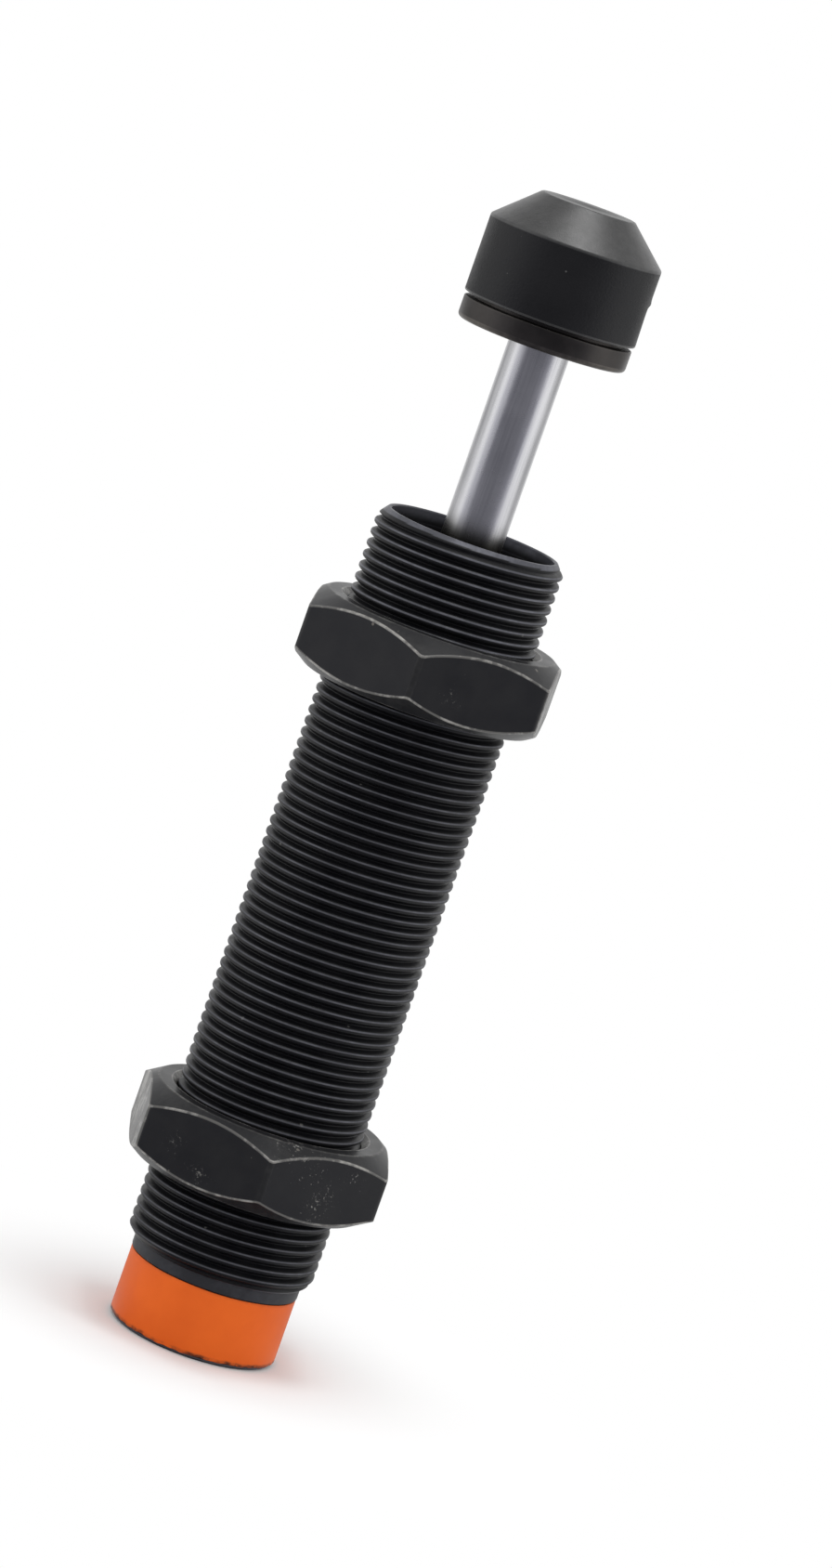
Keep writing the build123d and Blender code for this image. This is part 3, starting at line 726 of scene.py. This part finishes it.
def makeSpecks():
    group, start, end = newGroup(
        "specks",
        [
            ("Vector", vectorSocket, None),
            ("Scale", floatSocket, 900.0),
            ("Size", floatSocket, 0.12),
            ("Share", floatSocket, 0.05),
        ],
        [("Mask", floatSocket)],
    )
    wobbleScale = calculate(group, "MULTIPLY", start.outputs["Scale"], 2.3)
    wobble = noise(group, start.outputs["Vector"], wobbleScale, 1.0)
    cells = group.nodes.new("ShaderNodeTexVoronoi")
    group.links.new(start.outputs["Vector"], cells.inputs["Vector"])
    group.links.new(start.outputs["Scale"], cells.inputs["Scale"])
    chance = group.nodes.new("ShaderNodeSeparateColor")
    group.links.new(cells.outputs["Color"], chance.inputs["Color"])
    chosen = calculate(group, "LESS_THAN", chance.outputs[0], start.outputs["Share"])
    spread = calculate(group, "ADD", chance.outputs[1], 0.4)
    size = calculate(group, "MULTIPLY", start.outputs["Size"], spread)
    reach = calculate(group, "MULTIPLY_ADD", wobble, 0.12, cells.outputs["Distance"])
    reach = calculate(group, "SUBTRACT", reach, 0.06)
    near = between(group, calculate(group, "SUBTRACT", size, reach), 0.0, 0.05)
    group.links.new(calculate(group, "MULTIPLY", near, chosen), end.inputs["Mask"])
    return group


def makeScratches():
    group, start, end = newGroup(
        "scratches",
        [
            ("Vector", vectorSocket, None),
            ("Scale", floatSocket, 500.0),
            ("Angle", floatSocket, 0.7),
            ("Share", floatSocket, 0.1),
        ],
        [("Mask", floatSocket)],
    )
    total = None
    for tilt, axis in ((1.0, (0.3, 1.0, 0.1)), (-1.7, (1.0, 0.2, 0.4))):
        turn = group.nodes.new("ShaderNodeVectorRotate")
        turn.rotation_type = "AXIS_ANGLE"
        turn.inputs["Axis"].default_value = axis
        group.links.new(start.outputs["Vector"], turn.inputs["Vector"])
        group.links.new(calculate(group, "MULTIPLY", start.outputs["Angle"], tilt), turn.inputs["Angle"])
        stretch = group.nodes.new("ShaderNodeVectorMath")
        stretch.operation = "MULTIPLY"
        group.links.new(turn.outputs[0], stretch.inputs[0])
        stretch.inputs[1].default_value = (1.0, 1.0, 0.07)
        cells = group.nodes.new("ShaderNodeTexVoronoi")
        group.links.new(stretch.outputs[0], cells.inputs["Vector"])
        group.links.new(start.outputs["Scale"], cells.inputs["Scale"])
        chance = group.nodes.new("ShaderNodeSeparateColor")
        group.links.new(cells.outputs["Color"], chance.inputs["Color"])
        chosen = calculate(group, "LESS_THAN", chance.outputs[0], start.outputs["Share"])
        line = calculate(group, "SUBTRACT", 1.0, between(group, cells.outputs["Distance"], 0.03, 0.09))
        line = calculate(group, "MULTIPLY", line, chosen)
        total = line if total is None else calculate(group, "MAXIMUM", total, line)
    group.links.new(total, end.inputs["Mask"])
    return group


def makePatch():
    # Small specks where the surface is near the centre, fewer of them towards the radius.
    group, start, end = newGroup(
        "patch",
        [("Vector", vectorSocket, None), ("Centre", vectorSocket, None), ("Radius", floatSocket, 0.002)],
        [("Mask", floatSocket)],
    )
    gap = group.nodes.new("ShaderNodeVectorMath")
    gap.operation = "DISTANCE"
    group.links.new(start.outputs["Vector"], gap.inputs[0])
    group.links.new(start.outputs["Centre"], gap.inputs[1])
    share = calculate(group, "DIVIDE", gap.outputs["Value"], start.outputs["Radius"])
    broad = noise(group, start.outputs["Vector"], 800.0, 2.0, 0.6)
    close = noise(group, start.outputs["Vector"], 2800.0, 3.0, 0.7)
    cloud = calculate(group, "MULTIPLY_ADD", broad, 0.5, close)
    level = calculate(group, "SUBTRACT", cloud, calculate(group, "MULTIPLY", share, 0.26))
    group.links.new(between(group, level, 0.78, 0.98), end.inputs["Mask"])
    return group


def makeToolMarks():
    # Fine rings from turning or grinding: noise whose z runs far faster than its x and y.
    group, start, end = newGroup(
        "toolMarks",
        [("Vector", vectorSocket, None), ("Across", floatSocket, 60.0), ("Along", floatSocket, 9000.0)],
        [("Height", floatSocket)],
    )
    scale = group.nodes.new("ShaderNodeCombineXYZ")
    group.links.new(start.outputs["Across"], scale.inputs[0])
    group.links.new(start.outputs["Across"], scale.inputs[1])
    group.links.new(start.outputs["Along"], scale.inputs[2])
    stretch = group.nodes.new("ShaderNodeVectorMath")
    stretch.operation = "MULTIPLY"
    group.links.new(start.outputs["Vector"], stretch.inputs[0])
    group.links.new(scale.outputs[0], stretch.inputs[1])
    group.links.new(noise(group, stretch.outputs[0], 1.0, 2.0, 0.6), end.inputs["Height"])
    return group


effects = {
    "mottle": makeMottle(),
    "grain": makeGrain(),
    "edgeWearAndSheen": makeEdgeWearAndSheen(),
    "specks": makeSpecks(),
    "scratches": makeScratches(),
    "patch": makePatch(),
    "toolMarks": makeToolMarks(),
}
print("effects made")


# colour, second: the two tones, with roughness for each. mottle: scale, contrast. grain: scale, detail and
# depth in metres. marks: scale across and along, depth. streaks: scale across and along, share. specks and
# scratches: scale, size or angle, share. wear: amount, scale, breakup, least; with its colour it lays real
# wear, and on the barrel, the nuts and the cap also painted highlights and sheen. coat, wearCoat: weight,
# roughness. patches: place and radius in millimetres, share; some are painted highlights.
finishes = {
    "bodyBlack": {
        "colour": (0.0040, 0.0041, 0.0054), "second": (0.0064, 0.0065, 0.0080), "roughness": (0.36, 0.48),
        "specular": 0.26, "mottle": (260, 0.2), "grain": (3500, 0.4, 0.000004),
        "wear": (0.6, 1300, 0.4, 0.5), "wearAndSheenColour": (0.148, 0.151, 0.176), "wearMetal": 0.3,
        "specks": (700, 0.13, 0.03), "speckColour": (0.07, 0.068, 0.065),
    },
    "nutBlack": {
        "colour": (0.0094, 0.0096, 0.0116), "second": (0.0136, 0.0137, 0.0152), "roughness": (0.42, 0.56),
        "specular": 0.08, "coat": (0.42, 0.26), "mottle": (190, 0.2), "grain": (2600, 0.6, 0.00001),
        "wear": (0.45, 1300, 1.15, 0.26), "wearAndSheenColour": (0.37, 0.36, 0.34), "wearMetal": 0.45,
        "specks": (620, 0.17, 0.08), "speckColour": (0.11, 0.10, 0.09),
        "scratches": (330, 0.7, 0.05),
        "patches": [
            (12.9, -10.2, 28.9, 3.0, 0.9), (9.7, -12.7, 25.6, 6.0, 0.7), (-9.8, -13.2, 26.2, 3.4, 0.4),
            (-6.0, -14.8, 24.2, 3.4, 0.4), (5.0, -13.4, 31.6, 8.5, 0.9), (4.0, -16.0, 92.0, 4.4, 0.25),
            # painted highlights at the left and right ends of the nuts' bores
            (-12.6, -3.2, 97.9, 4.0, 1.0), (12.9, -3.0, 97.9, 4.4, 1.0), (-13.0, -2.5, 31.5, 4.0, 1.0),
        ],
        "patchColour": (0.33, 0.32, 0.3),
    },
    "capPolymer": {
        "colour": (0.0054, 0.0055, 0.0070), "second": (0.0074, 0.0075, 0.0092), "roughness": (0.42, 0.5),
        "specular": 0.32, "mottle": (150, 0.25), "grain": (3000, 0.8, 0.00004),
        "wear": (0.75, 5000, 0.2, 0.6), "wearAndSheenColour": (0.029, 0.029, 0.029), "wearMetal": 0.0,
        "wearCoat": (1.0, 0.42),
        "specks": (900, 0.1, 0.03), "speckColour": (0.08, 0.08, 0.08),
    },
    "buttonSteel": {
        "colour": (0.055, 0.051, 0.049), "second": (0.076, 0.070, 0.067), "roughness": (0.34, 0.46),
        "metallic": 1.0, "mottle": (300, 0.2), "grain": (3200, 0.5, 0.000004),
        "wear": (0.6, 1200, 0.6, 0.2), "wearAndSheenColour": (0.34, 0.31, 0.28), "wearMetal": 1.0,
        "marks": (120, 9000, 0.000003), "specks": (700, 0.12, 0.02), "speckColour": (0.2, 0.19, 0.17),
    },
    "rodBright": {
        "colour": (0.58, 0.58, 0.60), "second": (0.66, 0.66, 0.68), "roughness": (0.22, 0.32),
        "metallic": 1.0, "mottle": (160, 0.25), "grain": (2600, 0.3, 0.000001),
        "marks": (70, 11000, 0.0000014), "streaks": (2200, 60, 0.35), "streakColour": (0.36, 0.36, 0.39),
        "specks": (420, 0.1, 0.03), "speckColour": (0.38, 0.37, 0.38),
        # painted reflection of the barrel's dark mouth in a brownish tone, in front of the wiper, between
        # two heights
        "foot": (108.2, 113.2), "footColour": (0.09, 0.085, 0.065),
    },
    "labelOrange": {
        "colour": (0.690, 0.104, 0.0060), "second": (0.760, 0.124, 0.0085), "roughness": (0.4, 0.5),
        "specular": 0.20, "mottle": (130, 0.22), "grain": (1500, 0.4, 0.000006),
        "wear": (0.62, 1100, 1.3, 0.0), "wearAndSheenColour": (0.030, 0.017, 0.011), "wearMetal": 0.0,
        "specks": (800, 0.11, 0.012), "speckColour": (0.25, 0.06, 0.02),
    },
    "steelPlain": {
        "colour": (0.34, 0.34, 0.35), "second": (0.44, 0.44, 0.45), "roughness": (0.28, 0.42),
        "metallic": 1.0, "mottle": (180, 0.22), "grain": (2800, 0.5, 0.000003),
        "marks": (90, 8000, 0.000003),
    },
    "steelSpring": {
        "colour": (0.13, 0.13, 0.14), "second": (0.2, 0.2, 0.21), "roughness": (0.3, 0.45),
        "metallic": 1.0, "mottle": (220, 0.2), "grain": (2800, 0.5, 0.000003),
    },
    "screwZinc": {
        "colour": (0.42, 0.41, 0.39), "second": (0.55, 0.54, 0.52), "roughness": (0.26, 0.4),
        "metallic": 1.0, "mottle": (260, 0.2), "grain": (3200, 0.5, 0.000004),
    },
    "bronze": {
        "colour": (0.46, 0.27, 0.11), "second": (0.58, 0.36, 0.16), "roughness": (0.28, 0.42),
        "metallic": 1.0, "mottle": (200, 0.22), "grain": (2800, 0.5, 0.000003),
        "marks": (90, 8000, 0.000003),
    },
    "sealRubber": {
        "colour": (0.012, 0.012, 0.012), "second": (0.02, 0.02, 0.02), "roughness": (0.45, 0.65),
        "specular": 0.4, "mottle": (200, 0.25), "grain": (3000, 0.6, 0.000008),
    },
    "sealHard": {
        "colour": (0.6, 0.58, 0.5), "second": (0.7, 0.67, 0.58), "roughness": (0.35, 0.5),
        "specular": 0.45, "mottle": (180, 0.25), "grain": (2600, 0.4, 0.000003),
    },
    "washerPolymer": {
        "colour": (0.5, 0.4, 0.16), "second": (0.62, 0.5, 0.22), "roughness": (0.35, 0.5),
        "specular": 0.45, "mottle": (180, 0.25), "grain": (2600, 0.4, 0.000003),
    },
    "foam": {
        "colour": (0.035, 0.035, 0.04), "second": (0.07, 0.07, 0.075), "roughness": (0.8, 0.95),
        "specular": 0.2, "mottle": (700, 0.15), "grain": (1800, 1.0, 0.00012),
    },
}


def useEffect(tree, name, coordinates, **values):
    node = tree.nodes.new("ShaderNodeGroup")
    node.node_tree = effects[name]
    tree.links.new(coordinates, node.inputs["Vector"])
    for label, value in values.items():
        feed(tree, node.inputs[label], value)
    return node.outputs[0]


def mixColour(tree, mask, first, second):
    node = tree.nodes.new("ShaderNodeMix")
    node.data_type = "RGBA"
    tree.links.new(mask, node.inputs[0])
    for place, value in ((6, first), (7, second)):
        feed(tree, node.inputs[place], (*value, 1) if isinstance(value, tuple) else value)
    return node.outputs[2]


def mixValue(tree, mask, first, second):
    node = tree.nodes.new("ShaderNodeMix")
    node.data_type = "FLOAT"
    tree.links.new(mask, node.inputs[0])
    feed(tree, node.inputs[2], first)
    feed(tree, node.inputs[3], second)
    return node.outputs[0]


def makeFinish(name, values):
    # Two close tones drift over the piece, with specks, scratches and worn edges on top of them; the wear
    # mask, some patches and the rod's foot tone also lay painted highlights, sheen and reflection. Grain and
    # tool marks raise the surface.
    material = bpy.data.materials.new(name)
    material.use_nodes = True
    tree = material.node_tree
    shader = tree.nodes["Principled BSDF"]
    place = tree.nodes.new("ShaderNodeTexCoord").outputs["Object"]
    scale, contrast = values["mottle"]
    drift = useEffect(tree, "mottle", place, Scale=scale, Contrast=contrast)
    colour = mixColour(tree, drift, values["colour"], values["second"])
    rough = mixValue(tree, drift, *values["roughness"])
    metal = values.get("metallic", 0.0)
    if "specks" in values:
        size, width, share = values["specks"]
        dots = useEffect(tree, "specks", place, Scale=size, Size=width, Share=share)
        colour = mixColour(tree, dots, colour, values["speckColour"])
    if "scratches" in values:
        size, angle, share = values["scratches"]
        lines = useEffect(tree, "scratches", place, Scale=size, Angle=angle, Share=share)
        lines = calculate(tree, "MULTIPLY", lines, 0.55)
        colour = mixColour(tree, lines, colour, values["speckColour"])
    if "streaks" in values:
        across, along, share = values["streaks"]
        streaks = useEffect(tree, "toolMarks", place, Across=across, Along=along)
        streaks = calculate(tree, "MULTIPLY", between(tree, streaks, 0.42, 0.72), share)
        colour = mixColour(tree, streaks, colour, values["streakColour"])
    # patches: pale patches, and at the ends of the nuts' bores painted highlights
    for across, depth, height, radius, share in values.get("patches", []):
        centre = (across * millimetre, depth * millimetre, height * millimetre)
        patch = useEffect(tree, "patch", place, Centre=centre, Radius=radius * millimetre)
        colour = mixColour(tree, calculate(tree, "MULTIPLY", patch, share), colour, values["patchColour"])
    # painted reflection of the barrel's dark mouth: the rod takes the brownish foot tone below the lower
    # height, fading out by the upper one
    if "foot" in values:
        parts = tree.nodes.new("ShaderNodeSeparateXYZ")
        tree.links.new(place, parts.inputs[0])
        low, high = [height * millimetre for height in values["foot"]]
        colour = mixColour(tree, between(tree, parts.outputs[2], low, high), values["footColour"], colour)
    if "wear" in values:
        amount, size, breakup, least = values["wear"]
        edge = tree.nodes.new("ShaderNodeAttribute")
        edge.attribute_name = "edge"
        # wear mask: real worn edges, and on the barrel, the nuts and the cap also painted highlights and
        # sheen
        wearAndSheenMask = useEffect(
            tree, "edgeWearAndSheen", place,
            Edge=edge.outputs["Fac"], Amount=amount, Scale=size, Breakup=breakup, Least=least,
        )
        colour = mixColour(tree, wearAndSheenMask, colour, values["wearAndSheenColour"])
        metal = mixValue(tree, wearAndSheenMask, metal, values["wearMetal"])
        if "wearCoat" in values:
            weight, shader.inputs["Coat Roughness"].default_value = values["wearCoat"]
            tree.links.new(calculate(tree, "MULTIPLY", wearAndSheenMask, weight), shader.inputs["Coat Weight"])
    tree.links.new(colour, shader.inputs["Base Color"])
    tree.links.new(rough, shader.inputs["Roughness"])
    feed(tree, shader.inputs["Metallic"], metal)
    shader.inputs["Specular IOR Level"].default_value = values.get("specular", 0.5)
    if "coat" in values:
        weight, shader.inputs["Coat Roughness"].default_value = values["coat"]
        shader.inputs["Coat Weight"].default_value = weight
    size, detail, depth = values["grain"]
    height = useEffect(tree, "grain", place, Scale=size, Detail=detail)
    bump = tree.nodes.new("ShaderNodeBump")
    bump.inputs["Strength"].default_value = 1.0
    bump.inputs["Distance"].default_value = depth
    tree.links.new(height, bump.inputs["Height"])
    normal = bump.outputs[0]
    if "marks" in values:
        across, along, markDepth = values["marks"]
        rings = useEffect(tree, "toolMarks", place, Across=across, Along=along)
        second = tree.nodes.new("ShaderNodeBump")
        second.inputs["Strength"].default_value = 1.0
        second.inputs["Distance"].default_value = markDepth
        tree.links.new(rings, second.inputs["Height"])
        tree.links.new(normal, second.inputs["Normal"])
        normal = second.outputs[0]
    tree.links.new(normal, shader.inputs["Normal"])
    return material


finish = {name: makeFinish(name, values) for name, values in finishes.items()}

dressed = {
    bodyTube: "bodyBlack", labelBand: "labelOrange", frontNut: "nutBlack", rearNut: "nutBlack",
    pistonRod: "rodBright", strikeButton: "buttonSteel", bumperCap: "capPolymer",
    returnSpring: "steelSpring",
}
inside = {
    "filler_screw": "screwZinc", "filler_seal": "sealRubber", "pressure_tube": "steelPlain",
    "spring_seat": "steelPlain", "rod_bearing": "steelPlain", "guide_bush": "bronze",
    "accumulator_foam": "foam", "rebound_washer": "washerPolymer", "gland": "steelPlain",
    "gland_o_ring": "sealRubber", "rod_seal": "sealRubber", "backup_ring": "sealHard",
    "wiper_ring": "sealRubber", "retaining_ring": "steelSpring", "piston": "bronze",
    "piston_ring": "sealHard", "check_ring": "steelSpring", "piston_nut": "steelPlain",
}
for piece, choice in dressed.items():
    piece.data.materials.clear()
    piece.data.materials.append(finish[choice])
for node, choice in inside.items():
    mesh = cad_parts[node].data
    mesh.materials.clear()
    mesh.materials.append(finish[choice])
print("finishes placed")


room = {
    # how bright the room looks in a gloss, from its near side at 0 to its far side at 1
    "gloss": [
        (0.05, 0.19), (0.17, 0.26), (0.29, 0.38), (0.42, 0.86), (0.62, 0.76), (0.86, 0.5), (0.95, 0.9),
    ],
    "blue": 1.13,  # how much bluer the dark side is
    "darkSide": 0.3,  # where it ends
    "above": 0.5,
    "floorHalf": 6.0,  # metres
    "floorColour": 0.94,
    "floorFade": (0.018, 0.06),  # metres from the middle, where the floor turns into the white behind it
    "daylight": 0.85,
}


def azimuthLight(tree, vector):
    # Brightness by direction round the object: low towards -y, high at the sides, middling behind.
    parts = tree.nodes.new("ShaderNodeSeparateXYZ")
    tree.links.new(vector, parts.inputs[0])
    across = calculate(tree, "MULTIPLY", parts.outputs[0], parts.outputs[0])
    depth = calculate(tree, "MULTIPLY", parts.outputs[1], parts.outputs[1])
    reach = calculate(tree, "SQRT", calculate(tree, "ADD", calculate(tree, "ADD", across, depth), 1e-9))
    side = calculate(tree, "DIVIDE", parts.outputs[1], reach)
    share = calculate(tree, "MULTIPLY_ADD", side, 0.5, 0.5)
    ramp = tree.nodes.new("ShaderNodeValToRGB")
    ramp.color_ramp.interpolation = "EASE"
    stops = ramp.color_ramp.elements
    while len(stops) < len(room["gloss"]):
        stops.new(0.5)
    for stop, (spot, level) in zip(stops, room["gloss"]):
        stop.position = spot
        stop.color = (level, level, level * (room["blue"] if spot < room["darkSide"] else 1), 1)
    tree.links.new(share, ramp.inputs[0])
    return ramp.outputs[0], parts.outputs[2]


def makeFloor():
    half = room["floorHalf"]
    corners = [(-half, -half, 0), (half, -half, 0), (half, half, 0), (-half, half, 0)]
    mesh = bpy.data.meshes.new("floor")
    mesh.from_pydata(corners, [], [(0, 1, 2, 3)])
    floor = bpy.data.objects.new("floor", mesh)
    bpy.context.collection.objects.link(floor)
    material = bpy.data.materials.new("paleFloor")
    material.use_nodes = True
    tree = material.node_tree
    shader = tree.nodes["Principled BSDF"]
    shader.inputs["Base Color"].default_value = (room["floorColour"],) * 3 + (1,)
    shader.inputs["Roughness"].default_value = 0.9
    shader.inputs["Specular IOR Level"].default_value = 0.1
    place = tree.nodes.new("ShaderNodeTexCoord").outputs["Object"]
    reach = tree.nodes.new("ShaderNodeVectorMath")
    reach.operation = "LENGTH"
    tree.links.new(place, reach.inputs[0])
    far = between(tree, reach.outputs["Value"], *room["floorFade"])
    rays = tree.nodes.new("ShaderNodeLightPath")
    glow = tree.nodes.new("ShaderNodeEmission")
    glow.inputs["Color"].default_value = (1, 1, 1, 1)
    glow.inputs["Strength"].default_value = 1.0
    fade = tree.nodes.new("ShaderNodeMixShader")
    tree.links.new(calculate(tree, "MULTIPLY", far, rays.outputs["Is Camera Ray"]), fade.inputs[0])
    tree.links.new(shader.outputs[0], fade.inputs[1])
    tree.links.new(glow.outputs[0], fade.inputs[2])
    mirror = tree.nodes.new("ShaderNodeEmission")
    tree.links.new(azimuthLight(tree, place)[0], mirror.inputs["Color"])
    seen = tree.nodes.new("ShaderNodeMixShader")
    tree.links.new(rays.outputs["Is Glossy Ray"], seen.inputs[0])
    tree.links.new(fade.outputs[0], seen.inputs[1])
    tree.links.new(mirror.outputs[0], seen.inputs[2])
    tree.links.new(seen.outputs[0], tree.nodes["Material Output"].inputs["Surface"])
    mesh.materials.append(material)
    return floor


floor = makeFloor()

world = bpy.data.worlds.new("studio")
bpy.context.scene.world = world
world.use_nodes = True
tree = world.node_tree
background = tree.nodes["Background"]
direction = tree.nodes.new("ShaderNodeTexCoord").outputs["Generated"]
level, rise = azimuthLight(tree, direction)
overhead = between(tree, rise, 0.35, 0.85)
above = mixColour(tree, overhead, level, (room["above"],) * 3)
rays = tree.nodes.new("ShaderNodeLightPath")
soft = mixColour(tree, rays.outputs["Is Glossy Ray"], (room["daylight"],) * 3, above)
shown = mixColour(tree, rays.outputs["Is Camera Ray"], soft, (1.0, 1.0, 1.0))
tree.links.new(shown, background.inputs["Color"])
background.inputs["Strength"].default_value = 1.0

lamps = {
    "top": {"at": (0.02, -0.05, 0.62), "aim": (0, 0, 0.14), "size": (0.2, 0.2), "power": 1.1},
    "left": {"at": (-0.75, -0.25, 0.35), "aim": (0, 0, 0.08), "size": (0.7, 0.9), "power": 1.0},
    "right": {"at": (0.8, -0.1, 0.3), "aim": (0, 0, 0.08), "size": (0.7, 0.9), "power": 1.0},
}
for name, values in lamps.items():
    data = bpy.data.lights.new(name, "AREA")
    data.shape = "RECTANGLE"
    data.size, data.size_y = values["size"]
    data.energy = values["power"]
    lamp = bpy.data.objects.new(name, data)
    lamp.location = values["at"]
    aim = Vector(values["aim"]) - Vector(values["at"])
    lamp.rotation_mode = "QUATERNION"
    lamp.rotation_quaternion = aim.to_track_quat("-Z", "Y")
    bpy.context.collection.objects.link(lamp)
print("room made")


photoAngle = {  # degrees, metres, and the lens in millimetres
    "roll": 19.45,
    "elevation": 9.1,
    "distance": 0.735,
    "aside": 0.00362,
    "height": 0.0776,
    "lens": 133.23,
}


def makeCamera():
    # The camera looks along +y and down by the elevation. Its own up leans left by the roll, so that the
    # rod leans right.
    roll = math.radians(photoAngle["roll"])
    lift = math.radians(photoAngle["elevation"])
    upright = Vector((0, math.sin(lift), math.cos(lift)))
    back = Vector((0, -math.cos(lift), math.sin(lift)))
    right = Vector((math.cos(roll), 0, 0)) + math.sin(roll) * upright
    up = Vector((-math.sin(roll), 0, 0)) + math.cos(roll) * upright
    data = bpy.data.cameras.new("camera")
    data.lens = photoAngle["lens"]
    data.clip_start = 0.01
    data.clip_end = 50
    camera = bpy.data.objects.new("camera", data)
    bpy.context.collection.objects.link(camera)
    place = Vector((photoAngle["aside"], 0, photoAngle["height"])) + back * photoAngle["distance"]
    turn = Matrix((right, up, back)).transposed().to_4x4()
    camera.matrix_world = Matrix.Translation(place) @ turn
    bpy.context.scene.camera = camera


makeCamera()
bpy.context.scene.view_settings.view_transform = "Standard"
print("camera made")
